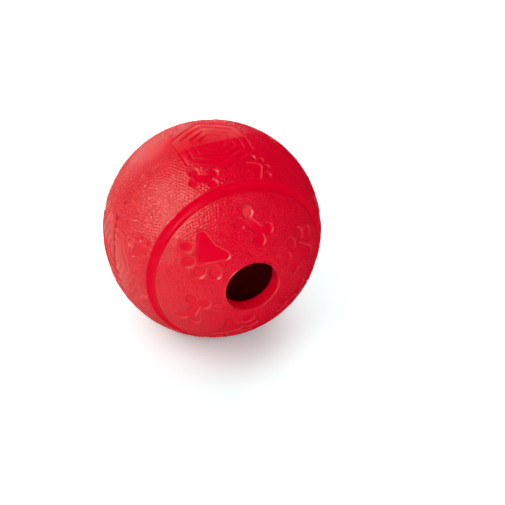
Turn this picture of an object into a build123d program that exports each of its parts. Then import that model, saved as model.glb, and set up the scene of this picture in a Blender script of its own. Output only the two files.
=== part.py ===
from build123d import *
import os
from math import cos, radians, sin, sqrt

# Treat dispensing ball: two moulded natural rubber halves, bonded on the equator, with a maze disc
# clamped between them. Sizes are millimetres and angles degrees. The origin is the ball's centre,
# +Z is up and the treat hole faces -Y.
#
# The pieces are modelled on the hole's axis and turned upright at the end. A place on the ball is a
# polar angle, from the middle of the hole, and a turn about the hole's axis, from the top towards -X.

# The ball
ball_diameter = 70.0
wall_thickness = 5.0
hole_diameter = 17.8

# The bonded lap joint on the equator
spigot_length = 3.0
spigot_wall_share = 0.48
bond_thickness = 0.25
seam_groove_width = 0.9
seam_groove_depth = 0.25

# The maze disc
disc_thickness = 3.0
disc_clearance = 0.15
gate_diameter = 20.0
gate_margin = 4.4
collar_height = 3.0
collar_wall = 1.8

# The smooth channel round each end of the ball
channel_polar = 56.0
channel_width = 3.7
channel_depth = 0.9

# The stepped hexagon panels on the equator
panel_count = 4
panel_sides = 6
panel_levels = 4
panel_radius = 13.4
panel_tread = 2.93
panel_step = 0.3

# Paw and bone pockets
motif_depth = 0.5

# Bone: four knobs on a shaft
cap_bone_reach = 8.8
cap_bone_spread = 4.5
cap_bone_knob_diameter = 4.2
cap_bone_shaft_width = 3.5
strip_bone_reach = 6.2
strip_bone_spread = 3.7
strip_bone_knob_diameter = 3.2
strip_bone_shaft_width = 3.3

# Paw: a rounded three-cornered pad, notched at the heel, with a fan of toes along +X of its outline
pad_apex_distance = 6.4
pad_heel_distance = 4.9
pad_heel_notch = 2.0
pad_half_width = 9.1
pad_apex_radius = 2.2
pad_heel_radius = 1.7
toe_count = 4
toe_fan_radius = 7.45
toe_fan_step = 37.7
toe_length = 4.8
toe_width = 4.0
cap_paw_share = 1.0
strip_paw_share = 0.58

# Places of the motifs: the end caps inside the channel, then the strip between channel and panels
cap_motif_repeats = 3
cap_bone_place = (34.6, -7.2)
cap_bone_tilt = -42.5
cap_paw_place = (33.4, 41.7)
cap_paw_tilt = 2.0
strip_bone_place = (67.2, 15.0)
strip_bone_tilt = -29.0
strip_paw_place = (65.9, -16.7)
strip_paw_tilt = -148.0

# How far cutters reach past what they cut
overrun = 1.0

# Sizes worked out from those above
ball_radius = ball_diameter / 2
inner_radius = ball_radius - wall_thickness
hole_radius = hole_diameter / 2
spigot_radius = inner_radius + wall_thickness * spigot_wall_share
socket_radius = spigot_radius + bond_thickness
seat_depth = spigot_length + disc_thickness
disc_radius = socket_radius - disc_clearance
gate_radius = gate_diameter / 2
gate_offset = sqrt(inner_radius**2 - seat_depth**2) - gate_margin - gate_radius

ABOVE = (Align.CENTER, Align.CENTER, Align.MIN)
BELOW = (Align.CENTER, Align.CENTER, Align.MAX)
CENTRE = (0, 0, 0)


def aim(polar, turn):
    """Direction from the ball's centre to a place on it."""
    across = sin(radians(polar))
    return Vector(
        -across * sin(radians(turn)), across * cos(radians(turn)), cos(radians(polar))
    )


def place_plane(polar, turn):
    """Plane through the centre that faces out at a place, x along growing turn and y to the hole."""
    along_turn = aim(90, turn + 90)
    return Plane(origin=CENTRE, x_dir=along_turn, z_dir=aim(polar, turn))


def sunk(outline, plane, reach, depth):
    """Cutter that sinks an outline, no wider than reach from its middle, evenly below the surface."""
    rise = ball_radius - sqrt(ball_radius**2 - reach**2)
    floor = ball_radius - rise - depth - overrun
    prism = extrude(plane.offset(floor) * outline, amount=rise + depth + 2 * overrun)
    return prism - Sphere(ball_radius - depth)


def ring_groove(polar, width, depth):
    """Cutter for a round-bottomed groove that runs round the hole's axis."""
    rounding = (width**2 / 4 + depth**2) / (2 * depth)
    distance = ball_radius - depth + rounding
    height = distance * cos(radians(polar))
    return Pos(0, 0, height) * Torus(distance * sin(radians(polar)), rounding)


def bone_outline(reach, spread, knob_diameter, shaft_width):
    """Bone: a shaft with two knobs at each end."""
    bone = Rectangle(reach, shaft_width)
    for end in (-1, 1):
        for side in (-1, 1):
            bone += Pos(end * reach / 2, side * spread / 2) * Circle(knob_diameter / 2)
    return bone


def bone_reach(reach, spread, knob_diameter):
    """Distance from a bone's middle to the far side of a knob."""
    return sqrt(reach**2 + spread**2) / 2 + knob_diameter / 2


def paw_outline(size_share):
    """Paw print: one pad and a fan of toes, at a share of the full size."""
    apex = (pad_apex_distance * size_share, 0)
    left_heel = (-pad_heel_distance * size_share, pad_half_width * size_share)
    right_heel = (-pad_heel_distance * size_share, -pad_half_width * size_share)
    notch = ((pad_heel_notch - pad_heel_distance) * size_share, 0)
    pad = Polygon(apex, left_heel, notch, right_heel)
    heel_corners = pad.vertices().sort_by(Axis.X)[:3]
    pad = fillet(heel_corners, pad_heel_radius * size_share)
    pad = fillet(pad.vertices().sort_by(Axis.X)[-1:], pad_apex_radius * size_share)
    toe = Ellipse(toe_length / 2 * size_share, toe_width / 2 * size_share)
    toes = []
    for number in range(toe_count):
        swing = (number - (toe_count - 1) / 2) * toe_fan_step
        toes.append(Rot(Z=swing) * Pos(toe_fan_radius * size_share, 0) * toe)
    return Sketch() + [pad] + toes


def panel_cutters():
    """The stepped hexagon panels, each level sunk one step deeper than the one round it."""
    cutters = []
    for number in range(panel_count):
        outward = aim(90, number * 360 / panel_count)
        facing = Plane(origin=CENTRE, x_dir=(0, 0, 1), z_dir=outward)
        for level in range(panel_levels):
            radius = panel_radius - level * panel_tread
            depth = (level + 1) * panel_step
            cutters.append(sunk(RegularPolygon(radius, panel_sides), facing, radius, depth))
    return cutters


def motif_cutters():
    """The paws and bones of one half of the ball: round its cap, then beside each panel."""
    cap_bone = bone_outline(
        cap_bone_reach, cap_bone_spread, cap_bone_knob_diameter, cap_bone_shaft_width
    )
    strip_bone = bone_outline(
        strip_bone_reach, strip_bone_spread, strip_bone_knob_diameter, strip_bone_shaft_width
    )
    cap_bone_span = bone_reach(cap_bone_reach, cap_bone_spread, cap_bone_knob_diameter)
    strip_bone_span = bone_reach(strip_bone_reach, strip_bone_spread, strip_bone_knob_diameter)
    cap_paw = paw_outline(cap_paw_share)
    strip_paw = paw_outline(strip_paw_share)
    cap_paw_span = (toe_fan_radius + toe_length) * cap_paw_share
    strip_paw_span = (toe_fan_radius + toe_length) * strip_paw_share
    rows = [
        (cap_bone, cap_bone_place, cap_bone_tilt, cap_bone_span, cap_motif_repeats),
        (cap_paw, cap_paw_place, cap_paw_tilt, cap_paw_span, cap_motif_repeats),
        (strip_bone, strip_bone_place, strip_bone_tilt, strip_bone_span, panel_count),
        (strip_paw, strip_paw_place, strip_paw_tilt, strip_paw_span, panel_count),
    ]
    cutters = []
    for outline, place, tilt, span, repeats in rows:
        polar, turn = place
        for number in range(repeats):
            plane = place_plane(polar, turn + number * 360 / repeats)
            cutters.append(sunk(Rot(Z=tilt) * outline, plane, span, motif_depth))
    return cutters


def front_shell(panels, motifs):
    """Half with the treat hole and the spigot."""
    hollow = Sphere(inner_radius)
    dome = Sphere(ball_radius) & Cylinder(ball_diameter, ball_diameter, align=ABOVE)
    spigot = Cylinder(spigot_radius, spigot_length, align=BELOW)
    hole = Cylinder(hole_radius, ball_diameter, align=ABOVE)
    shell = dome + spigot - hollow - hole
    shell -= ring_groove(channel_polar, channel_width, channel_depth)
    shell -= ring_groove(90, seam_groove_width, seam_groove_depth)
    for cutter in panels + motifs:
        shell -= cutter
    return shell


def rear_shell(panels, motifs):
    """Half with the socket and the disc's seat. Its relief is the front's, turned end for end."""
    hollow = Sphere(inner_radius)
    below_bond = Pos(0, 0, -bond_thickness) * Cylinder(ball_diameter, ball_diameter, align=BELOW)
    socket = Cylinder(socket_radius, seat_depth, align=BELOW)
    shell = (Sphere(ball_radius) & below_bond) - hollow - socket
    end_for_end = Rot(Y=180)
    shell -= end_for_end * ring_groove(channel_polar, channel_width, channel_depth)
    shell -= ring_groove(90, seam_groove_width, seam_groove_depth)
    for cutter in panels:
        shell -= cutter
    for cutter in motifs:
        shell -= end_for_end * cutter
    return shell


def seam_bond(panels):
    """Bonding rubber: a flat ring between the rims and a sleeve round the spigot."""
    film = Sphere(ball_radius) & Cylinder(ball_diameter, bond_thickness, align=BELOW)
    sleeve = Cylinder(socket_radius, spigot_length, align=BELOW)
    spigot = Pos(0, 0, overrun) * Cylinder(
        spigot_radius, spigot_length + 2 * overrun, align=BELOW
    )
    bond = film + sleeve - spigot
    bond -= ring_groove(90, seam_groove_width, seam_groove_depth)
    for cutter in panels:
        bond -= cutter
    return bond


def maze_disc():
    """Inner wall between the chambers, with a gate at the top and a collar on the gate's rear side."""
    disc = Pos(0, 0, -spigot_length) * Cylinder(disc_radius, disc_thickness, align=BELOW)
    gate_middle = Pos(0, gate_offset, -spigot_length)
    collar_reach = disc_thickness + collar_height
    collar = gate_middle * Cylinder(gate_radius + collar_wall, collar_reach, align=BELOW)
    gate = Pos(0, 0, overrun) * gate_middle * Cylinder(
        gate_radius, collar_reach + 2 * overrun, align=BELOW
    )
    return disc + collar - gate


def main():
    panels = panel_cutters()
    motifs = motif_cutters()
    pieces = {
        "front_shell": front_shell(panels, motifs),
        "rear_shell": rear_shell(panels, motifs),
        "seam_bond": seam_bond(panels),
        "maze_disc": maze_disc(),
    }
    upright = Rot(X=90)
    os.makedirs("parts", exist_ok=True)
    for name, piece in pieces.items():
        export_step(upright * piece, f"parts/{name}.step")


main()
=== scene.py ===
import math

import bpy
import numpy as np
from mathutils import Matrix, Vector
from mathutils.geometry import delaunay_2d_cdt
from mathutils.kdtree import KDTree


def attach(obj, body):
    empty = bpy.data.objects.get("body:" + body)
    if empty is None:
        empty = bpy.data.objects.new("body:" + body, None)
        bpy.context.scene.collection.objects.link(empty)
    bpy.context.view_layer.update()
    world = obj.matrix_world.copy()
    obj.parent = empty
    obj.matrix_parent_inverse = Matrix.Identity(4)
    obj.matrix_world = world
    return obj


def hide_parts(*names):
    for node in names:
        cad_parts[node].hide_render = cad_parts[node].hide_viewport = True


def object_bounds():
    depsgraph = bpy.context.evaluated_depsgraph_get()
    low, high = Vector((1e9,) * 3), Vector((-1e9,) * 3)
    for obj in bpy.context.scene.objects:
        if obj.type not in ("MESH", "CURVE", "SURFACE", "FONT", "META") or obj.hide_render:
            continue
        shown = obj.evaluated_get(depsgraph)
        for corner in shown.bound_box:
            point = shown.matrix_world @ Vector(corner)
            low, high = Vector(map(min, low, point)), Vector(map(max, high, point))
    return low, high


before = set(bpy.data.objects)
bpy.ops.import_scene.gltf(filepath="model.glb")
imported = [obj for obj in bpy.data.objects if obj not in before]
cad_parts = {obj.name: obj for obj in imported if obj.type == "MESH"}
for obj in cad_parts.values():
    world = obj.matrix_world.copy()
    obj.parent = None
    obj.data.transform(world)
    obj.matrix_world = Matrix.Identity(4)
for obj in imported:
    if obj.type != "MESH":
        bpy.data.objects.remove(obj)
cad_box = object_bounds()

# Sizes of the part, in millimetres and degrees, as in its source
MM = 0.001
BALL_R = 35.0
INNER_R = 30.0
HOLE_R = 8.9
SPIGOT_R = 32.4
SPIGOT_LENGTH = 3.0
BOND = 0.25
SOCKET_R = SPIGOT_R + BOND
SEAT_DEPTH = 6.0
CHANNEL_POLAR = 56.0
CHANNEL_WIDTH = 3.7
CHANNEL_DEPTH = 0.9
PANEL_COUNT = 4
PANEL_SIDES = 6
PANEL_LEVELS = 4
PANEL_RADIUS = 13.4
PANEL_TREAD = 2.93
PANEL_STEP = 0.3
MOTIF_DEPTH = 0.5
CAP_BONE = (8.8, 4.5, 4.2, 3.5)
STRIP_BONE = (6.2, 3.7, 3.2, 3.3)
PAD_APEX, PAD_HEEL, PAD_NOTCH, PAD_HALF = 6.4, 4.9, 2.0, 9.1
PAD_APEX_R, PAD_HEEL_R = 2.2, 1.7
TOE_COUNT, TOE_FAN_R, TOE_STEP, TOE_LENGTH, TOE_WIDTH = 4, 7.45, 37.7, 4.8, 4.0
CAP_REPEATS = 3
CAP_BONE_PLACE, CAP_BONE_TILT = (34.6, -7.2), -42.5
CAP_PAW_PLACE, CAP_PAW_TILT, CAP_PAW_SHARE = (33.4, 41.7), 2.0, 1.0
STRIP_BONE_PLACE, STRIP_BONE_TILT = (67.2, 15.0), -29.0
STRIP_PAW_PLACE, STRIP_PAW_TILT, STRIP_PAW_SHARE = (65.9, -16.7), -148.0, 0.58

# Detail that only the visual model has
RIPPLE_WAVES = 6         # sine waves that make up an uneven pattern
PEBBLE_ROWS = 38         # pebbles along an edge of the icosahedron that carries the grain
MESH_ROWS = 140          # mesh points along the same edge
COARSE = 4               # smooth areas keep each fourth of them
PEBBLE_STRAY = 0.16      # how far the pebbles stray from even rows
PEBBLE_BROW = 0.68       # distance over which a pebble falls off to the valley round it
PEBBLE_CURVE = 1.8       # power of that fall
PEBBLE_SEED = 5
LATTICE_TURNS = (0.31, 0.83)            # radians that take the pebbles' rows off the ball's axes
GRAIN = 0.165            # height of a pebble over the valley beside it, halved
GRAIN_FADE = 0.15        # the grain rises over this distance from an outline
GRAIN_WAVE = (0.5, 3.0, 7)              # its unevenness: share, wavelength and seed
STEP = 0.34              # spacing of points along an outline
KEEP_OFF = 0.17          # grain points closer to a ring of points than this are dropped
RING_GAP = 0.05          # ring points closer together than this are thinned
CHANNEL_RINGS = 11       # rings of points across the channel
CHANNEL_STEP = 0.9       # spacing of points along them
SEAM_RINGS = (0.12, 0.24)               # distances of rings of points from a half's rim
RIM_SPARE = 0.09         # how much nearer the grain comes to the seam's rings than to others
SEAM_OPEN = 0.55         # depth of the seam where its bead leaves it open
SEAM_REACH = 0.6         # how far its edge rounds off there into each half
SEAM_CURVE = 1.2         # power of that rounding
OPEN_FROM = 0.5          # the seam gets a darker red, painted shade of its open groove, where it is more open than this share
SPAN_EASE = 1.2          # degrees over which an open or a squeezed out span begins
RIM_R = 0.3              # rounding of the hole's edge
RIM_STEPS, WELL_STEPS = 6, 7            # rings of faces on that rounding and on the hole's wall
WELL_FLARE, WELL_CHAMFER = 0.4, 0.35    # width and height of the chamfer at the hole's inner end
LIP_RINGS = (0.1, 0.22, 0.36, 0.52)     # distances of rings of points from the hole's edge
LIP_REACH = 0.45         # trimming burr round the hole: its width and height
LIP_HEIGHT = 0.28
LIP_CURVE = 1.5          # power of its fall
LIP_MEAN, LIP_MOST = 0.8, 2             # shares of its height, in the mean and at most
LIP_WAVE = (1.3, 4.0, 31)               # its unevenness: share, wavelength and seed
EDGE_OUT = 0.12          # a step's rounded edge begins this far outside its outline
MOTIF_EDGE = 0.56        # width of a pocket's sloped wall, with its roundings
PANEL_EDGE = 0.32        # width of a panel's step
EDGE_ROUND = 0.2         # share of either width that each rounding takes
MOTIF_RINGS = (-0.12, -0.06, 0.0, 0.33, 0.385, 0.44)        # distances of rings inside an outline
PANEL_RINGS = (-0.12, -0.06, 0.14, 0.2, 0.3, 0.44, 0.6)
RING_MISS = 0.03         # a ring's points that miss their distance by more are dropped
PANEL_FROM = 0.1         # a panel's own rubber begins this far inside its outline
PANEL_COSINE = 0.5       # cosine within which a place is measured from a panel's middle
FOOT_LINE = 0.16         # depth of the line along the foot of a panel's step
FOOT_MIDDLE, FOOT_OUT, FOOT_IN = 0.2, 0.3, 0.4      # where it lies and how far it spreads
JOINT_POINTS = 360       # points round each ring of the lap joint
DOME_ROW, DOME_STEP, DOME_LEAST = 1.6, 1.3, 24      # inner rings: gap, spacing and fewest points

# The bonding rubber's bead along the seam
BEAD_POINTS = 1500
BEAD_CREST, BEAD_REACH = 0.02, 0.2      # height over the ball and reach to each side
BEAD_SHOULDER = 0.75     # share of the height that it has halfway to its side
BEAD_LAP, BEAD_ROOT = 0.02, 0.2         # its sides lie below the rubber, its root below an open seam
CREST_WAVES = ((0.06, 2.2, 21), (0.2, 0.9, 22))     # unevenness: height, wavelength and seed
REACH_WAVE = (0.16, 1.1, 25)
FLASH_WAVE = (0.6, 1.6, 23)
FLASH_SPREAD = 0.8       # a squeezed out span widens the bead by this share of its height
PANEL_CALM = 0.3         # share of the unevenness that the bead keeps in a panel
OPEN_FILM, OPEN_REACH = 0.03, 0.1       # thickness and reach of what is left in an open span

# Kinds of face: the regions of the outer surface, then the other surfaces
PLAIN, CHANNEL, POCKET, EDGE, PANEL, CRACK, RIM, WELL, INSIDE = range(9)
SHARP_ANGLE = 38         # edges off the relief that bend by more degrees are sharp
FAR_OUT = -9.0           # distance inside an outline that stands for none near
NEAR_SPARE = 1.0         # distances are measured up to this far outside a motif
TINY = 1e-7              # slack in a test for a border or for the pole
MERGE = 1e-9             # points nearer than this are one in the triangulation


# Directions on the ball. The hole's axis is z here and the top is y.

def aim(polar, turn):
    """Direction from the ball's centre to a place on it."""
    p, t = np.radians(polar), np.radians(turn)
    x, y, z = -np.sin(p) * np.sin(t), np.sin(p) * np.cos(t), np.cos(p)
    return np.stack(np.broadcast_arrays(x, y, z), -1)


def turn_of(points):
    """Turn of points about the hole's axis, in radians."""
    return np.arctan2(-points[:, 0], points[:, 1]) % (2 * math.pi)


def wrapped(angle):
    """Angle from minus to plus half a turn."""
    return (angle + math.pi) % (2 * math.pi) - math.pi


def lifted(line, across, up, out):
    """Directions to a flat outline's places on the ball."""
    h = np.sqrt(BALL_R ** 2 - (line ** 2).sum(1))
    return (line[:, :1] * across + line[:, 1:] * up + h[:, None] * out) / BALL_R


def upright(points, rear):
    """Local points to the part frame. The rear half is the front turned end for end."""
    x, y, z = points[:, 0], points[:, 1], points[:, 2]
    if rear:
        return np.stack([-x, z, y], 1)
    return np.stack([x, -z, y], 1)


def flat(directions):
    """Stereographic projection, which keeps circles and angles."""
    return directions[:, :2] / (1 + directions[:, 2:3])


def ripple(directions, wavelength, seed):
    """Smooth uneven pattern over the ball, about -0.6 to 0.6."""
    rng = np.random.default_rng(seed)
    total = np.zeros(len(directions))
    for _ in range(RIPPLE_WAVES):
        way = rng.normal(size=3)
        way *= 2 * math.pi * BALL_R / wavelength / np.linalg.norm(way)
        total += np.sin(directions @ way + rng.uniform(0, 2 * math.pi))
    return total / RIPPLE_WAVES


def waves(directions, *rows):
    """Sum of ripples, each given by its height, wavelength and seed."""
    return sum(height * ripple(directions, length, seed) for height, length, seed in rows)


# Outlines in millimetres on a plane that faces out, x along growing turn and y towards the hole

def arc(centre, radius, start, end):
    count = max(3, int(math.ceil(abs(end - start) * radius / STEP)))
    a = np.linspace(start, end, count + 1)
    return np.stack([centre[0] + radius * np.cos(a), centre[1] + radius * np.sin(a)], 1)


def turned(line, angle):
    """An outline turned about its middle."""
    c, s = math.cos(angle), math.sin(angle)
    return np.stack([line[:, 0] * c - line[:, 1] * s, line[:, 0] * s + line[:, 1] * c], 1)


def moved_in(line, distance):
    """A closed outline moved inwards."""
    t = np.roll(line, -1, 0) - np.roll(line, 1, 0)
    t /= np.hypot(t[:, 0], t[:, 1])[:, None]
    x, y = line[:, 0], line[:, 1]
    area = (x * np.roll(y, -1) - y * np.roll(x, -1)).sum()
    return line + np.stack([-t[:, 1], t[:, 0]], 1) * np.sign(area) * distance


def dense(points):
    """Closed line through corner points, with points at an even step along it."""
    out = []
    for i in range(len(points)):
        a, b = points[i], points[(i + 1) % len(points)]
        count = max(1, int(math.ceil(np.hypot(*(b - a)) / STEP)))
        s = np.linspace(0, 1, count, endpoint=False)[:, None]
        out.append(a + (b - a) * s)
    return np.concatenate(out)


def bone_lines(reach, spread, knob_diameter, shaft):
    r = knob_diameter / 2
    cx, cy = reach / 2, spread / 2
    meet = math.atan2(shaft / 2 - cy, -math.sqrt(r * r - (cy - shaft / 2) ** 2))
    upper = arc((cx, cy), r, meet % (2 * math.pi), -math.pi / 2)
    lower = upper[::-1] * (1, -1)
    right = np.concatenate([upper, lower])
    left = right * (-1, -1)
    return [dense(np.concatenate([right, left]))]


def rounded(corners, radii):
    """Closed outline through straight sides with rounded corners."""
    out = []
    n = len(corners)
    for i in range(n):
        p, a, b = corners[i], corners[i - 1], corners[(i + 1) % n]
        u = (a - p) / np.hypot(*(a - p))
        v = (b - p) / np.hypot(*(b - p))
        half = math.acos(float(u @ v)) / 2
        middle = (u + v) / np.hypot(*(u + v))
        c = p + middle * radii[i] / math.sin(half)
        t0 = p + u * radii[i] / math.tan(half) - c
        t1 = p + v * radii[i] / math.tan(half) - c
        s = math.atan2(t0[1], t0[0])
        turn = math.atan2(t0[0] * t1[1] - t0[1] * t1[0], float(t0 @ t1))
        out.append(arc(c, radii[i], s, s + turn))
    return dense(np.concatenate(out))


def paw_lines(share):
    corners = [
        (PAD_APEX, 0), (-PAD_HEEL, PAD_HALF), (PAD_NOTCH - PAD_HEEL, 0), (-PAD_HEEL, -PAD_HALF)
    ]
    radii = [PAD_APEX_R, PAD_HEEL_R, PAD_HEEL_R, PAD_HEEL_R]
    lines = [rounded(np.array(corners) * share, [r * share for r in radii])]
    a, b = TOE_LENGTH / 2 * share, TOE_WIDTH / 2 * share
    count = int(math.ceil(math.pi * (a + b) / STEP))
    s = np.linspace(0, 2 * math.pi, count, endpoint=False)
    toe = np.stack([TOE_FAN_R * share + a * np.cos(s), b * np.sin(s)], 1)
    for i in range(TOE_COUNT):
        lines.append(turned(toe, math.radians((i - (TOE_COUNT - 1) / 2) * TOE_STEP)))
    return lines


def inside(points, line):
    """Even-odd test of points against a closed line."""
    x, y = points[:, 0:1], points[:, 1:2]
    x0, y0 = line[:, 0], line[:, 1]
    x1, y1 = np.roll(x0, -1), np.roll(y0, -1)
    spans = (y0 > y) != (y1 > y)
    with np.errstate(divide="ignore", invalid="ignore"):
        cut = x0 + (y - y0) * (x1 - x0) / (y1 - y0)
    return (spans & (x < cut)).sum(1) % 2 == 1


class Motif:
    """A paw or bone at a place on the ball."""

    def __init__(self, lines, polar, turn, tilt):
        self.out = aim(polar, turn)
        self.across = aim(90, turn + 90)
        self.up = np.cross(self.out, self.across)
        self.lines = [turned(line, math.radians(tilt)) for line in lines]
        self.reach = max(np.hypot(q[:, 0], q[:, 1]).max() for q in self.lines)

    def ring(self, line, distance):
        """Directions to the places a distance inside one of the outlines."""
        return lifted(moved_in(line, distance), self.across, self.up, self.out)

    def inset(self, directions):
        """Distance inside the outlines, negative outside them, for directions near the motif."""
        found = np.full(len(directions), FAR_OUT)
        widest = math.asin((self.reach + NEAR_SPARE) / BALL_R)
        near = np.flatnonzero(directions @ self.out > math.cos(widest))
        d = directions[near] * BALL_R
        q = np.stack([d @ self.across, d @ self.up], 1)
        for line in self.lines:
            along = np.roll(line, -1, 0) - line
            to = q[:, None] - line
            t = np.clip((to * along).sum(2) / (along ** 2).sum(1), 0, 1)
            gap = np.sqrt(((to - t[:, :, None] * along) ** 2).sum(2).min(1))
            found[near] = np.maximum(found[near], np.where(inside(q, line), gap, -gap))
        return found


def motifs():
    rows = [
        (bone_lines(*CAP_BONE), CAP_BONE_PLACE, CAP_BONE_TILT, CAP_REPEATS),
        (paw_lines(CAP_PAW_SHARE), CAP_PAW_PLACE, CAP_PAW_TILT, CAP_REPEATS),
        (bone_lines(*STRIP_BONE), STRIP_BONE_PLACE, STRIP_BONE_TILT, PANEL_COUNT),
        (paw_lines(STRIP_PAW_SHARE), STRIP_PAW_PLACE, STRIP_PAW_TILT, PANEL_COUNT),
    ]
    made = []
    for lines, (polar, turn), tilt, repeats in rows:
        for i in range(repeats):
            made.append(Motif(lines, polar, turn + i * 360 / repeats, tilt))
    return made


def groove_circle(width, depth):
    """A round-bottomed groove's section: its radius, and its middle's distance from the ball's."""
    r = (width ** 2 / 4 + depth ** 2) / (2 * depth)
    return r, BALL_R - depth + r


def groove_radius(off, width, depth):
    """Distance of a groove's floor from the ball's centre, off radians from the groove's middle."""
    r, d = groove_circle(width, depth)
    inner = r * r - (d * np.sin(off)) ** 2
    radius = d * np.cos(off) - np.sqrt(np.maximum(inner, 0))
    return np.where(inner > 0, np.minimum(radius, BALL_R), BALL_R)


def groove_half(width, depth):
    """Half the angle that a groove takes on the ball's surface, in degrees."""
    r, d = groove_circle(width, depth)
    return math.degrees(math.acos((d * d + BALL_R ** 2 - r * r) / (2 * d * BALL_R)))


CHANNEL_HALF = groove_half(CHANNEL_WIDTH, CHANNEL_DEPTH)
CHANNEL_SIDES = (CHANNEL_POLAR - CHANNEL_HALF, CHANNEL_POLAR + CHANNEL_HALF)
HOLE_EDGE = math.degrees(math.asin((HOLE_R + RIM_R) / (BALL_R - RIM_R)))


# The seam, as turns from the top: spans that are left open, and spans where the bead is squeezed out
# proud of the ball, with its height there
OPEN_SPANS = ((52.3, 54.2), (57.2, 59.6), (62.4, 64.4), (66, 112), (250, 292))
FLASHES = (
    (-22, 22, 0.05), (24, 37, 0.3), (131, 139, 0.2), (204, 221, 0.28), (318, 326, 0.24),
)


def span_share(turn, start, end):
    """How far a turn is into a span, up to 1."""
    off = (turn - (start + end) / 2 + 180) % 360 - 180
    return np.clip(((end - start) / 2 - np.abs(off)) / SPAN_EASE, 0, 1)


def opened(turn):
    """How open the seam is at a turn, up to 1."""
    return sum(span_share(turn, start, end) for start, end in OPEN_SPANS)


def seam_cut(off, turn):
    """Depth of the seam at a distance from a half's rim."""
    near = np.clip(1 - off / SEAM_REACH, 0, 1)
    return SEAM_OPEN * opened(turn) * near ** SEAM_CURVE


def lip_rise(off, directions):
    """Height of the burr round the hole at a distance from its edge."""
    near = np.clip(1 - off / LIP_REACH, 0, 1)
    share = np.clip(LIP_MEAN + waves(directions, LIP_WAVE), 0, LIP_MOST)
    return LIP_HEIGHT * share * near ** LIP_CURVE


def panel_axes(number):
    """Directions out of a panel's middle and across it, along the seam."""
    out = aim(90, number * 360 / PANEL_COUNT)
    return out, np.cross(out, (0, 0, 1.0))


def panel_inset(directions):
    """Distance inside each of a panel's nested hexagons, from the outer one in, as columns."""
    side = math.cos(math.pi / PANEL_SIDES)
    reach = np.full(len(directions), PANEL_RADIUS - FAR_OUT)
    for number in range(PANEL_COUNT):
        out, across = panel_axes(number)
        u, v = directions[:, 2] * BALL_R, directions @ across * BALL_R
        size = np.maximum.reduce([np.abs(u * side + v / 2), np.abs(u * side - v / 2), np.abs(v)])
        reach = np.where(directions @ out > PANEL_COSINE, size, reach)
    return (PANEL_RADIUS - np.arange(PANEL_LEVELS) * PANEL_TREAD) * side - reach[:, None]


def eased(t):
    """Smooth rise from 0 to 1."""
    t = np.clip(t, 0, 1)
    return t * t * (3 - 2 * t)


def soft_step(inset, width):
    """Step from 0 outside an outline to 1 inside it: an even slope with both ends rounded."""
    t = np.clip((inset + EDGE_OUT) / width, 0, 1)
    from_end = np.minimum(t, 1 - t)
    bend = np.minimum(from_end / EDGE_ROUND, 1)
    rise = np.where(bend < 1, from_end * bend / 2, from_end - EDGE_ROUND / 2) / (1 - EDGE_ROUND)
    return np.where(t < 0.5, rise, 1 - rise)


def panel_depth(directions):
    """Depth of the hexagons' steps, with the line along the foot of each."""
    inset = panel_inset(directions)
    off = inset - FOOT_MIDDLE
    line = eased(1 - np.maximum(-off / FOOT_OUT, off / FOOT_IN))
    return (PANEL_STEP * soft_step(inset, PANEL_EDGE) + FOOT_LINE * line).sum(1)


def near_tree(points):
    tree = KDTree(len(points))
    for number, p in enumerate(points):
        tree.insert(Vector(p), number)
    tree.balance()
    return tree


def lattice(count):
    """Directions of an even triangle lattice over the ball, and which of them a coarser one keeps."""
    g = (1 + math.sqrt(5)) / 2
    corners = []
    for a in (-1, 1):
        for b in (-g, g):
            corners += [(0, a, b), (a, b, 0), (b, 0, a)]
    corners = np.array(corners) / math.hypot(1, g)
    apart = math.acos(1 / math.sqrt(5))         # angle between neighbouring corners
    near = corners @ corners.T > math.cos(apart) / 2
    n = len(corners)
    faces = [
        (i, j, k)
        for i in range(n) for j in range(i + 1, n) for k in range(j + 1, n)
        if near[i, j] and near[j, k] and near[i, k]
    ]
    i, j = np.meshgrid(np.arange(count + 1), np.arange(count + 1), indexing="ij")
    keep = i + j <= count
    i, j = i[keep], j[keep]
    steps = np.stack([i, j, count - i - j], 1)
    weight = np.sin(apart / count * steps)
    coarse = (steps % COARSE == 0).all(1)
    points = np.concatenate([weight @ corners[list(face)] for face in faces])
    points /= np.linalg.norm(points, axis=1)[:, None]
    # points on a shared edge or corner are taken once
    _, first = np.unique(np.round(points, 7), axis=0, return_index=True)
    (ca, sa), (cb, sb) = [(math.cos(a), math.sin(a)) for a in LATTICE_TURNS]
    about_z = np.array([(ca, -sa, 0), (sa, ca, 0), (0, 0, 1)])
    about_x = np.array([(1, 0, 0), (0, cb, -sb), (0, sb, cb)])
    return points[first] @ (about_z @ about_x).T, np.tile(coarse, len(faces))[first]


def pebble_heights(points):
    """Height of the grain, from -1 in a valley to 1 on a top.

    Each pebble is the cell round a top that strays from its place, and falls off to its border.
    """
    tops, _ = lattice(PEBBLE_ROWS)
    stray = np.random.default_rng(PEBBLE_SEED).normal(size=tops.shape)
    tops = tops + stray * PEBBLE_STRAY / BALL_R
    tree = near_tree(tops)
    near = [tree.find_n(Vector(p), 2) for p in points]
    border = np.array([second[2] - first[2] for first, second in near]) * BALL_R
    fall = 1 - np.clip(border / PEBBLE_BROW, 0, 1)
    return 1 - 2 * fall ** PEBBLE_CURVE


LATTICE_POINTS, LATTICE_COARSE = lattice(MESH_ROWS)
LATTICE_HEIGHTS = pebble_heights(LATTICE_POINTS)
MOTIFS = motifs()


def motif_inset(directions):
    """Distance inside the nearest motif's outlines."""
    found = np.full(len(directions), FAR_OUT)
    for m in MOTIFS:
        found = np.maximum(found, m.inset(directions))
    return found


LATTICE_INSET = motif_inset(LATTICE_POINTS)


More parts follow.
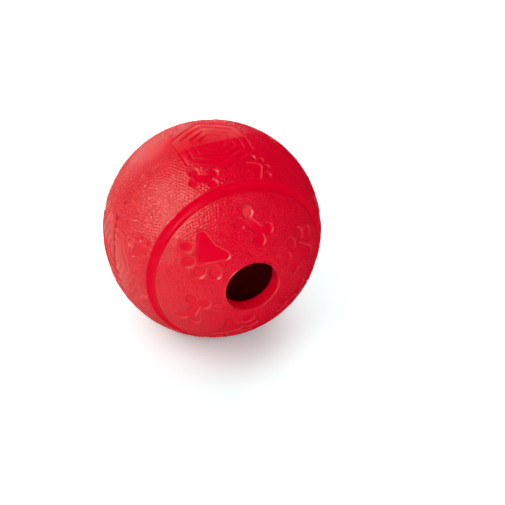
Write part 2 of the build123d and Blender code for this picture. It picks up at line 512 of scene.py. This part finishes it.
def circle(polar, step):
    """Directions at an even step round the hole's axis."""
    count = int(math.ceil(2 * math.pi * BALL_R * math.sin(math.radians(polar)) / step))
    return aim(np.full(count, polar), np.linspace(0, 360, count, endpoint=False))


def closed_chain(points):
    """Numbers of neighbouring points of a closed line, in pairs."""
    return [(i, (i + 1) % len(points)) for i in range(len(points))]


def edge_rings():
    """Points that follow the rounded edges of the paws, the bones and the hexagons."""
    points, wanted = [], []
    for m in MOTIFS:
        for line in m.lines:
            for off in MOTIF_RINGS:
                points.append(m.ring(line, off))
                wanted.append(np.full(len(line), off))
    points, wanted = np.concatenate(points), np.concatenate(wanted)
    rings = [points[np.abs(motif_inset(points) - wanted) < RING_MISS]]
    corner = np.arange(PANEL_SIDES) * 2 * math.pi / PANEL_SIDES
    for number in range(PANEL_COUNT):
        out, across = panel_axes(number)
        for k in range(PANEL_LEVELS):
            for off in PANEL_RINGS:
                r = PANEL_RADIUS - k * PANEL_TREAD - off / math.cos(math.pi / PANEL_SIDES)
                q = dense(np.stack([r * np.cos(corner), r * np.sin(corner)], 1))
                rings.append(lifted(q, np.array((0, 0, 1.0)), across, out))
    return thinned(np.concatenate(rings), RING_GAP)


def thinned(points, gap):
    """Points without those that lie too near to an earlier one."""
    tree = near_tree(points)
    keep = np.ones(len(points), bool)
    for i, p in enumerate(points):
        if keep[i]:
            for _, j, _ in tree.find_range(Vector(p), gap / BALL_R):
                if j > i:
                    keep[j] = False
    return points[keep]


EDGE_POINTS = edge_rings()


def outer_surface(rear):
    """One half's outer surface: directions, triangles, their regions, radii and pebble heights."""
    # polar angles between which the half lies, and the circles that its triangles have to follow
    last = 90 - (math.degrees(BOND / BALL_R) if rear else 0)
    first = 0 if rear else HOLE_EDGE
    fixed, links = [], []
    for polar in (first, *CHANNEL_SIDES, last):
        if polar:
            start = sum(len(f) for f in fixed)
            fixed.append(circle(polar, STEP))
            links += [(a + start, b + start) for a, b in closed_chain(fixed[-1])]
    fixed = np.concatenate(fixed)
    # grain points, thinned where the surface is smooth and dropped near rings that carry an edge
    polar = np.arccos(np.clip(LATTICE_POINTS[:, 2], -1, 1))
    off_rim = (math.radians(last) - polar) * BALL_R - SEAM_RINGS[-1] + RIM_SPARE
    off_hole = np.full(len(polar), BALL_R)
    if first:
        off_hole = (polar - math.radians(first)) * BALL_R - LIP_RINGS[-1]
    off_middle = np.abs(polar - math.radians(CHANNEL_POLAR))
    off_channel = (off_middle - math.radians(CHANNEL_HALF)) * BALL_R
    off_rings = np.minimum.reduce([off_rim, off_hole, off_channel])
    insets = np.concatenate([LATTICE_INSET[:, None], panel_inset(LATTICE_POINTS)], 1)
    lowest = np.array([MOTIF_RINGS[0]] + [PANEL_RINGS[0]] * PANEL_LEVELS) - KEEP_OFF
    highest = np.array([MOTIF_RINGS[-1]] + [PANEL_RINGS[-1]] * PANEL_LEVELS) + KEEP_OFF
    edge_free = ((insets < lowest) | (insets > highest)).all(1)
    smooth = (insets[:, :2] > 0).any(1)
    kept = edge_free & (off_rings > KEEP_OFF) & (~smooth | LATTICE_COARSE)
    away = np.minimum.reduce([off_rings, *(-EDGE_OUT - insets[:, :2].T)]) - KEEP_OFF
    fade = eased(away / GRAIN_FADE)[kept]
    points = LATTICE_POINTS[kept]
    grain = np.where(smooth[kept], 0, LATTICE_HEIGHTS[kept] * fade)
    # rings that carry the edges, the round channel, the seam and the hole's burr
    rings = [EDGE_POINTS[EDGE_POINTS[:, 2] > math.cos(math.radians(last))]]
    across = np.linspace(*CHANNEL_SIDES, CHANNEL_RINGS + 2)[1:-1]
    rings += [circle(p, CHANNEL_STEP) for p in across]
    rings += [circle(last - math.degrees(off / BALL_R), STEP) for off in SEAM_RINGS]
    if first:
        rings += [circle(first + math.degrees(off / BALL_R), STEP) for off in LIP_RINGS]
    rings = thinned(np.concatenate([fixed] + rings), RING_GAP)[len(fixed):]
    nodes = np.concatenate([points, rings, fixed])
    pocket = np.concatenate([LATTICE_INSET[kept], motif_inset(nodes[len(points):])])
    grain = np.concatenate([grain, np.zeros(len(nodes) - len(points))])
    grain *= 1 + waves(nodes, GRAIN_WAVE)
    start = len(nodes) - len(fixed)
    spots = [Vector(p) for p in flat(nodes)]
    made = delaunay_2d_cdt(spots, [(a + start, b + start) for a, b in links], [], 0, MERGE)
    triangles, source = np.array(made[2]), np.array([o[0] for o in made[3]])
    nodes, pocket, grain = nodes[source], pocket[source], grain[source]
    # triangles outside the half are dropped
    heights = nodes[triangles][:, :, 2]
    good = ~(heights < math.cos(math.radians(last)) + TINY).all(1)
    if first:
        good &= ~(heights > math.cos(math.radians(first)) - TINY).all(1)
    triangles = triangles[good]
    # radius of each corner
    polar = np.arccos(np.clip(nodes[:, 2], -1, 1))
    groove = groove_radius(polar - math.radians(CHANNEL_POLAR), CHANNEL_WIDTH, CHANNEL_DEPTH)
    sunk = MOTIF_DEPTH * soft_step(pocket, MOTIF_EDGE)
    radius = BALL_R + GRAIN * grain - sunk - panel_depth(nodes)
    turn = np.degrees(turn_of(nodes)) * (-1 if rear else 1)
    radius += groove - BALL_R - seam_cut((math.radians(last) - polar) * BALL_R, turn)
    if first:
        radius += lip_rise((polar - math.radians(first)) * BALL_R, nodes)
    # region of each triangle
    middle = np.degrees(polar[triangles].mean(1))
    region = np.full(len(triangles), PLAIN)
    region[np.abs(middle - CHANNEL_POLAR) < CHANNEL_HALF] = CHANNEL
    depth_in = pocket[triangles].mean(1)
    region[depth_in > -EDGE_OUT / 2] = EDGE
    region[depth_in > MOTIF_EDGE - EDGE_OUT] = POCKET
    region[panel_inset(nodes)[:, 0][triangles].mean(1) > PANEL_FROM] = PANEL
    gap = (math.radians(last) - polar[triangles].mean(1)) * BALL_R
    # the open seam's faces take the painted shade of its groove
    region[(gap < SEAM_RINGS[-1]) & (opened(turn)[triangles].mean(1) > OPEN_FROM)] = CRACK
    return nodes, triangles, region, radius, grain


class Shape:
    """Vertices and faces of one piece, in local millimetres."""

    def __init__(self):
        self.points, self.pebble, self.faces, self.kinds = [], [], [], []
        self.count = 0

    def add_points(self, points, pebble=None):
        self.points.append(np.asarray(points, float))
        self.pebble.append(np.zeros(len(points)) if pebble is None else pebble)
        start = self.count
        self.count += len(points)
        return np.arange(start, self.count)

    def add_faces(self, faces, kinds):
        self.faces += faces
        self.kinds += [kinds] * len(faces) if isinstance(kinds, int) else list(kinds)

    def all_points(self):
        return np.concatenate(self.points)


def relief(shape, rear):
    """Outer surface with its relief. Returns the free edge loops."""
    nodes, triangles, region, radius, grain = outer_surface(rear)
    shape.add_points(nodes * radius[:, None], grain)
    shape.add_faces([tuple(t) for t in triangles.tolist()], region.tolist())
    # free edges, chained into loops
    pairs = set()
    for f in shape.faces:
        for i in range(len(f)):
            pairs.add((f[i], f[(i + 1) % len(f)]))
    after = {a: b for a, b in pairs if (b, a) not in pairs}
    loops = []
    while after:
        start, following = after.popitem()
        loop = [start]
        while following != start:
            loop.append(following)
            following = after.pop(following)
        loops.append(loop)
    return sorted(loops, key=len)


def zip_rings(shape, ring_a, ring_b, kind):
    """Faces between two closed rings that run the same way round, matched by their turn."""
    points = shape.all_points()

    def unroll(ids):
        t = turn_of(points[ids])
        step = wrapped(np.diff(t, append=t[:1]))
        return t[0], np.concatenate([[0], np.cumsum(step)])

    a0, a = unroll(ring_a)
    sign = 1 if a[-1] > 0 else -1
    begin = int(np.argmin(np.abs(wrapped(turn_of(points[ring_b]) - a0))))
    ring_b = np.roll(ring_b, -begin)
    b0, b = unroll(ring_b)
    a, b = a * sign, (b + wrapped(b0 - a0)) * sign
    faces = []
    i = j = 0
    na, nb = len(ring_a), len(ring_b)
    while i < na or j < nb:
        next_a = a[i + 1] if i < na else math.inf
        next_b = b[j + 1] if j < nb else math.inf
        if next_a <= next_b:
            faces.append((int(ring_a[(i + 1) % na]), int(ring_a[i % na]), int(ring_b[j % nb])))
            i += 1
        else:
            faces.append((int(ring_a[i % na]), int(ring_b[j % nb]), int(ring_b[(j + 1) % nb])))
            j += 1
    shape.add_faces(faces, kind)
    return ring_b


def ring(shape, radius, z, count, sign):
    """Even ring of points round the hole's axis."""
    t = np.linspace(0, 2 * math.pi, count, endpoint=False) * sign
    x, y = -radius * np.sin(t), radius * np.cos(t)
    return shape.add_points(np.stack([x, y, np.full(count, z)], 1))


def way_round(shape, loop):
    """1 for a loop that runs along growing turn, or -1."""
    t = turn_of(shape.all_points()[loop])
    return 1 if wrapped(np.diff(t)).sum() > 0 else -1


def inner_dome(shape, last_ring, sign, from_z, to_polar):
    """Inner sphere from a ring at from_z to a polar angle, or to the pole. Returns the last ring."""
    start = math.degrees(math.acos(from_z / INNER_R))
    steps = int(round((start - to_polar) * math.radians(1) * INNER_R / DOME_ROW))
    count = len(last_ring)
    for polar in np.linspace(start, to_polar, steps + 1)[1:]:
        p = math.radians(polar)
        if polar < TINY:
            top = int(shape.add_points([(0, 0, INNER_R)])[0])
            ids = last_ring.tolist()
            shape.add_faces([(ids[b], ids[a], top) for a, b in closed_chain(ids)], INSIDE)
            return None
        even = int(2 * math.pi * INNER_R * math.sin(p) / DOME_STEP)
        wanted = max(DOME_LEAST, min(count, even))
        following = ring(shape, INNER_R * math.sin(p), INNER_R * math.cos(p), wanted, sign)
        last_ring = zip_rings(shape, last_ring, following, INSIDE)
    return last_ring


def joint_rings(shape, rim_loop, rows):
    """Plain rings inwards from a half's rim. Returns the last of them and its way round."""
    sign = way_round(shape, rim_loop)
    last = np.array(rim_loop)
    for radius, z in rows:
        last = zip_rings(shape, last, ring(shape, radius, z, JOINT_POINTS, sign), INSIDE)
    return last, sign


def front_half():
    """Half with the hole and the spigot."""
    shape = Shape()
    loops = relief(shape, False)
    hole_loop, rim_loop = loops[0], loops[-1]
    inner = math.sqrt(INNER_R ** 2 - SPIGOT_LENGTH ** 2)
    rows = ((SPIGOT_R, 0), (SPIGOT_R, -SPIGOT_LENGTH), (inner, -SPIGOT_LENGTH))
    last, sign = joint_rings(shape, rim_loop, rows)
    flare = HOLE_R + WELL_FLARE
    end = math.degrees(math.asin(flare / INNER_R))
    dome_end = inner_dome(shape, last, sign, -SPIGOT_LENGTH, end)
    # the hole's rounded outer edge, its wall and the chamfer at its inner end
    hole_sign = way_round(shape, hole_loop)
    count = len(hole_loop)
    last = np.array(hole_loop)
    edge = math.radians(HOLE_EDGE)
    middle_z = (BALL_R - RIM_R) * math.cos(edge)
    for a in np.linspace(edge, -math.pi / 2, RIM_STEPS + 1)[1:]:
        r, z = HOLE_R + RIM_R * (1 + math.sin(a)), middle_z + RIM_R * math.cos(a)
        last = zip_rings(shape, last, ring(shape, r, z, count, hole_sign), RIM)
    bottom = math.sqrt(INNER_R ** 2 - flare ** 2) + WELL_CHAMFER
    for z in np.linspace(middle_z, bottom, WELL_STEPS + 1)[1:]:
        last = zip_rings(shape, last, ring(shape, HOLE_R, z, count, hole_sign), WELL)
    if way_round(shape, dome_end.tolist()) != hole_sign:
        dome_end = dome_end[::-1]
    zip_rings(shape, last, dome_end, WELL)
    return shape


def rear_half():
    """Half with the socket and the disc's seat, turned end for end."""
    shape = Shape()
    rim_loop = relief(shape, True)[-1]
    inner = math.sqrt(INNER_R ** 2 - SEAT_DEPTH ** 2)
    rows = ((SOCKET_R, BOND), (SOCKET_R, SEAT_DEPTH), (inner, SEAT_DEPTH))
    last, sign = joint_rings(shape, rim_loop, rows)
    inner_dome(shape, last, sign, SEAT_DEPTH, 0)
    return shape


def seam_bead():
    """Bonding rubber: a sleeve round the spigot, a film between the rims and a rough bead outside."""
    shape = Shape()
    turn = np.linspace(0, 360, BEAD_POINTS, endpoint=False)
    d = aim(np.full(BEAD_POINTS, 90.0), turn)
    surface = BALL_R - panel_depth(d)
    open_share = opened(turn)
    uneven = np.where(surface < BALL_R - PANEL_STEP / 2, PANEL_CALM, 1)
    crest = BEAD_CREST + uneven * waves(d, *CREST_WAVES) - (SEAM_OPEN - OPEN_FILM) * open_share
    reach = BEAD_REACH + waves(d, REACH_WAVE)
    for start, end, height in FLASHES:
        flash = height * span_share(turn, start, end) * (1 + waves(d, FLASH_WAVE))
        crest += flash
        reach += FLASH_SPREAD * flash
    reach += (OPEN_REACH - reach) * open_share
    lip = -seam_cut(reach, turn) - BEAD_LAP
    shoulder = surface + (1 - BEAD_SHOULDER) * lip + BEAD_SHOULDER * crest
    root = surface - SEAM_OPEN - BEAD_ROOT
    profile = [
        (SOCKET_R, -BOND), (SOCKET_R, -SPIGOT_LENGTH),
        (SPIGOT_R, -SPIGOT_LENGTH), (SPIGOT_R, 0.0),
        (root, 0.0), (surface + lip, reach), (shoulder, reach / 2), (surface + crest, -BOND / 2),
        (shoulder, -BOND - reach / 2), (surface + lip, -BOND - reach), (root, -BOND),
    ]
    rows = []
    for radius, z in profile:
        x, y, z = np.broadcast_arrays(d[:, 0] * radius, d[:, 1] * radius, z)
        rows.append(shape.add_points(np.stack([x, y, z], 1)).tolist())
    # where the seam is open, the bead takes the painted shade of the groove
    kinds = np.where(open_share > OPEN_FROM, CRACK, RIM).tolist()
    around = closed_chain(turn)
    for a, b in zip(rows, rows[1:] + rows[:1]):
        shape.add_faces([(a[i], a[j], b[j], b[i]) for i, j in around], kinds)
    return shape


def finish_piece(shape, name, rear, material_of):
    """Object of a piece, with a material for each kind of face."""
    points = upright(shape.all_points(), rear) * MM
    mesh = bpy.data.meshes.new(name)
    mesh.from_pydata(points.tolist(), [], shape.faces)
    kinds = mesh.attributes.new("kind", "INT", "FACE")
    kinds.data.foreach_set("value", np.array(shape.kinds, np.int32))
    pebble = mesh.attributes.new("pebble", "FLOAT", "POINT")
    pebble.data.foreach_set("value", np.concatenate(shape.pebble).astype(np.float32))
    mesh.validate()
    faces = len(mesh.polygons)
    kind = np.empty(faces, np.int32)
    mesh.attributes["kind"].data.foreach_get("value", kind)
    slot_of = {}
    for each, material in material_of.items():
        if material.name not in mesh.materials:
            mesh.materials.append(material)
        slot_of[each] = mesh.materials.find(material.name)
    slots = np.array([slot_of[k] for k in kind.tolist()], np.int32)
    mesh.polygons.foreach_set("material_index", slots)
    mesh.polygons.foreach_set("use_smooth", np.ones(faces, bool))
    # the relief has soft edges, and the other corners are sharp
    total = np.empty(faces, np.int32)
    mesh.polygons.foreach_get("loop_total", total)
    edge_of = np.empty(len(mesh.loops), np.int32)
    mesh.loops.foreach_get("edge_index", edge_of)
    normal = np.empty(faces * 3, np.float32)
    mesh.polygons.foreach_get("normal", normal)
    normal = normal.reshape(-1, 3)
    face_of = np.repeat(np.arange(faces), total)
    order = np.argsort(edge_of, kind="stable")
    edges, starts, uses = np.unique(edge_of[order], return_index=True, return_counts=True)
    pair = uses == 2
    a, b = face_of[order[starts[pair]]], face_of[order[starts[pair] + 1]]
    bent = (normal[a] * normal[b]).sum(1) < math.cos(math.radians(SHARP_ANGLE))
    bent &= (kind[a] >= RIM) | (kind[b] >= RIM)
    sharp = np.zeros(len(mesh.edges), bool)
    sharp[edges[pair]] = bent
    mesh.attributes.new("sharp_edge", "BOOLEAN", "EDGE").data.foreach_set("value", sharp)
    mesh.attributes.remove(mesh.attributes["kind"])
    obj = bpy.data.objects.new(name, mesh)
    bpy.context.scene.collection.objects.link(obj)
    return obj


# Materials

DRIFT_SCALE, DRIFT_DETAIL = 90.0, 4.0       # noise of the colour's slow drift and of the gloss
DRIFT_RANGE = (0.3, 0.7)
SKIN_SCALE, SKIN_DETAIL = 2600.0, 3.0       # noise of the fine skin, and its depth in metres
SKIN_DEPTH = 0.00005
PEBBLE_SHADE_RANGE = (-0.9, 0.7)                     # heights of the grain from the dark to the pale colour: painted shade in the valleys
PEBBLE_SHADE_SHARE = 0.7                             # share of the grain's painted shade in the colour, next to the drift


def link(tree, source, target):
    tree.links.new(source, target)


def add(tree, kind, **inputs):
    """Node with some of its inputs set."""
    made = tree.nodes.new(kind)
    for key, value in inputs.items():
        made.inputs[key].default_value = value
    return made


def noise(tree, where, scale, detail):
    made = add(tree, "ShaderNodeTexNoise", Scale=scale, Detail=detail)
    link(tree, where.outputs["Object"], made.inputs["Vector"])
    return made.outputs["Fac"]


def map_range(tree, source, before, after=(0.0, 1.0), interpolation="LINEAR"):
    """A value's range before taken to the range after."""
    made = tree.nodes.new("ShaderNodeMapRange")
    made.interpolation_type = interpolation
    for key, value in zip(("From Min", "From Max", "To Min", "To Max"), (*before, *after)):
        made.inputs[key].default_value = value
    link(tree, source, made.inputs["Value"])
    return made.outputs["Result"]


def rubber(name, low, high, rough, specular, skin, painted_pebble_shade=False):
    """Moulded rubber: slow colour drift, uneven gloss, a fine skin, and painted shade: darker pebble
    valleys, paler tops.
    """
    m = bpy.data.materials.new(name)
    m.use_nodes = True
    t = m.node_tree
    b = t.nodes["Principled BSDF"]
    b.inputs["Specular IOR Level"].default_value = specular
    where = add(t, "ShaderNodeTexCoord")
    drift = noise(t, where, DRIFT_SCALE, DRIFT_DETAIL)
    shade = drift
    # painted shade: the colour follows the grain's height, darker in the valleys and paler on the
    # tops
    if painted_pebble_shade:
        height = add(t, "ShaderNodeAttribute")
        height.attribute_name = "pebble"
        both = add(t, "ShaderNodeMix", Factor=PEBBLE_SHADE_SHARE)
        link(t, drift, both.inputs["A"])
        link(t, map_range(t, height.outputs["Fac"], PEBBLE_SHADE_RANGE), both.inputs["B"])
        shade = both.outputs["Result"]
    mix = add(t, "ShaderNodeMix")
    mix.data_type = "RGBA"
    mix.inputs["A"].default_value = (*low, 1)
    mix.inputs["B"].default_value = (*high, 1)
    link(t, shade, mix.inputs["Factor"])
    link(t, mix.outputs["Result"], b.inputs["Base Color"])
    link(t, map_range(t, drift, DRIFT_RANGE, rough), b.inputs["Roughness"])
    push = add(t, "ShaderNodeBump", Strength=skin, Distance=SKIN_DEPTH)
    link(t, noise(t, where, SKIN_SCALE, SKIN_DETAIL), push.inputs["Height"])
    link(t, push.outputs["Normal"], b.inputs["Normal"])
    return m


# Deep and pale colour, range of roughness, specular level and strength of the skin
grained = rubber(
    "grained_rubber", (0.67, 0.0, 0.015), (0.77, 0.001, 0.024), (0.22, 0.28), 0.5, 0.2, painted_pebble_shade=True
)
pocket = rubber("pocket_rubber", (0.71, 0.0, 0.017), (0.75, 0.0, 0.022), (0.16, 0.22), 0.3, 0.12)
channel = rubber("channel_rubber", (0.7, 0.0, 0.016), (0.75, 0.0, 0.021), (0.18, 0.24), 0.05, 0.12)
panel_front = rubber("panel_rubber", (0.71, 0.0, 0.017), (0.75, 0.0, 0.022), (0.2, 0.26), 0.45, 0.15)
edge = rubber("edge_rubber", (0.71, 0.0, 0.017), (0.76, 0.001, 0.023), (0.33, 0.4), 0.8, 0.15)
panel_rear = rubber("satin_rubber", (0.71, 0.0, 0.017), (0.76, 0.001, 0.023), (0.3, 0.38), 0.55, 0.2)
# painted shade: the ball's inside and the maze disc are coloured a darker red than the outside
within = rubber("inner_rubber", (0.4, 0.004, 0.014), (0.52, 0.008, 0.02), (0.55, 0.7), 0.3, 0.4)
# painted light: the hole's wall is coloured a paler red than the rest, for the light that falls into
# the hole
painted_well_light = rubber("hole_painted_light", (0.92, 0.0, 0.02), (0.98, 0.002, 0.03), (0.3, 0.4), 0.3, 0.2)
bonding = rubber("bond_rubber", (0.66, 0.0, 0.014), (0.74, 0.001, 0.021), (0.3, 0.4), 0.4, 0.4)
# painted shade: the open seam's groove is coloured a darker red than the rubber round it
painted_seam_shade = rubber("seam_painted_shade", (0.46, 0.0, 0.009), (0.54, 0.0, 0.013), (0.4, 0.5), 0.05, 0.3)

# Pieces
outside = {
    PLAIN: grained, POCKET: pocket, EDGE: edge, CHANNEL: channel, CRACK: painted_seam_shade, INSIDE: within
}
front_rubbers = {**outside, PANEL: panel_front, RIM: edge, WELL: painted_well_light}
rear_rubbers = {**outside, PANEL: panel_rear}
front = finish_piece(front_half(), "front_rubber", False, front_rubbers)
rear = finish_piece(rear_half(), "rear_rubber", True, rear_rubbers)
bead = finish_piece(seam_bead(), "bond_bead", False, {RIM: bonding, CRACK: painted_seam_shade})
for piece, node, slot in (
    (front, "front_shell", "red_rubber"),
    (rear, "rear_shell", "red_rubber"),
    (bead, "seam_bond", "bond_rubber"),
):
    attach(piece, "root")
    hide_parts(node)
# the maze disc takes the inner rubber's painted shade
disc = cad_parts["maze_disc"].data
disc.materials.clear()
disc.materials.append(within)


# Floor: white paper. What the camera sees is lifted to white and keeps the shadow. In the gloss of
# the rubber it is bright on the left and falls off to the right and the front.

FLOOR_HALF = 3.0
FLOOR_SIGNS = ((-1, -1), (1, -1), (1, 1), (-1, 1))
PAPER_COLOUR = (0.8, 0.8, 0.8, 1)
SEEN_COLOUR = (1.12, 1.24, 1.24, 1)
GLOW_COLOUR, GLOW_STRENGTH = (0, 1, 1, 1), 0.1      # takes the red of the rubber out of the shadow
GLEAM_COLOUR = (1, 1, 0.8, 1)
GLEAM_X, GLEAM_LEVELS_X = (-0.065, 0.01), (0.85, 0.004)     # from left to right, in metres
GLEAM_Y, GLEAM_LEVELS_Y = (-0.12, 0.04), (0.6, 1.0)         # from front to back


def mix_shader(tree, factor, shader_a, shader_b):
    made = add(tree, "ShaderNodeMixShader")
    for source, target in zip((factor, shader_a, shader_b), made.inputs):
        link(tree, source, target)
    return made.outputs[0]


def paper_nodes(tree):
    """Nodes of the floor's paper."""
    path = add(tree, "ShaderNodeLightPath")
    matt = add(tree, "ShaderNodeBsdfDiffuse", Color=PAPER_COLOUR)
    seen = add(tree, "ShaderNodeBsdfDiffuse", Color=SEEN_COLOUR)
    glow = add(tree, "ShaderNodeEmission", Color=GLOW_COLOUR, Strength=GLOW_STRENGTH)
    shown = add(tree, "ShaderNodeAddShader")
    link(tree, seen.outputs[0], shown.inputs[0])
    link(tree, glow.outputs[0], shown.inputs[1])
    where = add(tree, "ShaderNodeTexCoord")
    parts = add(tree, "ShaderNodeSeparateXYZ")
    link(tree, where.outputs["Object"], parts.inputs[0])
    level = add(tree, "ShaderNodeMath")
    level.operation = "MULTIPLY"
    over_x = map_range(tree, parts.outputs["X"], GLEAM_X, GLEAM_LEVELS_X, "SMOOTHSTEP")
    over_y = map_range(tree, parts.outputs["Y"], GLEAM_Y, GLEAM_LEVELS_Y)
    link(tree, over_x, level.inputs[0])
    link(tree, over_y, level.inputs[1])
    gleam = add(tree, "ShaderNodeEmission", Color=GLEAM_COLOUR)
    link(tree, level.outputs[0], gleam.inputs["Strength"])
    lit = mix_shader(tree, path.outputs["Is Glossy Ray"], matt.outputs[0], gleam.outputs[0])
    paper = mix_shader(tree, path.outputs["Is Camera Ray"], lit, shown.outputs[0])
    link(tree, paper, add(tree, "ShaderNodeOutputMaterial").inputs["Surface"])


floor_z = cad_box[0][2]
floor_mesh = bpy.data.meshes.new("floor")
corners = [(x * FLOOR_HALF, y * FLOOR_HALF, floor_z) for x, y in FLOOR_SIGNS]
floor_mesh.from_pydata(corners, [], [(0, 1, 2, 3)])
floor = bpy.data.objects.new("floor", floor_mesh)
bpy.context.scene.collection.objects.link(floor)
paper = bpy.data.materials.new("paper")
paper.use_nodes = True
paper.node_tree.nodes.clear()
paper_nodes(paper.node_tree)
floor_mesh.materials.append(paper)

# World: white to the camera, and no light
world = bpy.data.worlds.new("world")
bpy.context.scene.world = world
world.use_nodes = True
sky = world.node_tree.nodes["Background"]
sky.inputs["Color"].default_value = (1, 1, 1, 1)
ray = add(world.node_tree, "ShaderNodeLightPath")
link(world.node_tree, ray.outputs["Is Camera Ray"], sky.inputs["Strength"])


# Light: a ring of wide soft boxes for the shade, which the gloss doesn't show, and smaller ones for
# the gloss, as azimuth, elevation and power

LAMP_DISTANCE = 1.25
SHADE_COLOUR, GLOSS_COLOUR = (1, 1, 1), (1, 1, 0.8)
SHADE_SIZE, GLOSS_SIZE, SPOT_SIZE = 1.0, 0.42, 0.3
SHADE_LAMPS = (
    (150, 20, 8.6), (-150, 20, 7.9), (-80, 55, 6.3), (-50, 20, 6.1), (120, 55, 5.3), (0, 20, 4.9),
    (50, 20, 3.6),
)
GLOSS_LAMPS = (
    (-84, 40, 4.8), (-84, 24, 3.2), (-60, 40, 2.4), (-90, 56, 2.2), (-60, 56, 1.7), (-180, 8, 1.5),
    (-140, 52, 1.2), (-156, 8, 1.2), (156, 8, 0.92), (-108, 24, 0.9), (-60, 14, 0.9), (-84, 8, 0.5),
    (-108, 8, 0.2),
)
GLOSS_SPOT = (29, 41, 0.9)


def set_up(name, data, azimuth, elevation, distance):
    """Lamp or camera that looks at the ball's centre."""
    a, e = math.radians(azimuth), math.radians(elevation)
    toward = Vector((math.sin(a) * math.cos(e), -math.cos(a) * math.cos(e), math.sin(e)))
    obj = bpy.data.objects.new(name, data)
    bpy.context.scene.collection.objects.link(obj)
    obj.location = toward * distance
    obj.rotation_euler = (-toward).to_track_quat("-Z", "Y").to_euler()
    return obj


def lamp(name, azimuth, elevation, power, size, gloss):
    """Soft box that lights either the gloss or the shade."""
    light = bpy.data.lights.new(name, "AREA")
    light.size = size
    light.energy = power
    light.color = GLOSS_COLOUR if gloss else SHADE_COLOUR
    light.cycles.use_multiple_importance_sampling = False
    obj = set_up(name, light, azimuth, elevation, LAMP_DISTANCE)
    obj.visible_glossy = gloss
    obj.visible_diffuse = not gloss
    obj.visible_camera = False


for number, row in enumerate(SHADE_LAMPS):
    lamp(f"shade_{number}", *row, SHADE_SIZE, False)
for number, row in enumerate(GLOSS_LAMPS):
    lamp(f"gloss_{number}", *row, GLOSS_SIZE, True)
lamp("gloss_spot", *GLOSS_SPOT, SPOT_SIZE, True)

# Camera, fitted to the photo
AZIMUTH, ELEVATION = -22.3, 36.1
IMAGE_SIDE = 505
BALL_PIXELS = 108.8             # the ball's radius in the photo
CAMERA_DISTANCE = 40 * BALL_R * MM
camera = bpy.data.cameras.new("camera")
camera.sensor_width = 36.0
camera.lens = camera.sensor_width * CAMERA_DISTANCE / (IMAGE_SIDE * BALL_R * MM / BALL_PIXELS)
camera.shift_x, camera.shift_y = 0.0804, -0.0477
camera.clip_end = 20
bpy.context.scene.camera = set_up("camera", camera, AZIMUTH, ELEVATION, CAMERA_DISTANCE)
bpy.context.scene.view_settings.view_transform = "Standard"

bpy.context.view_layer.update()
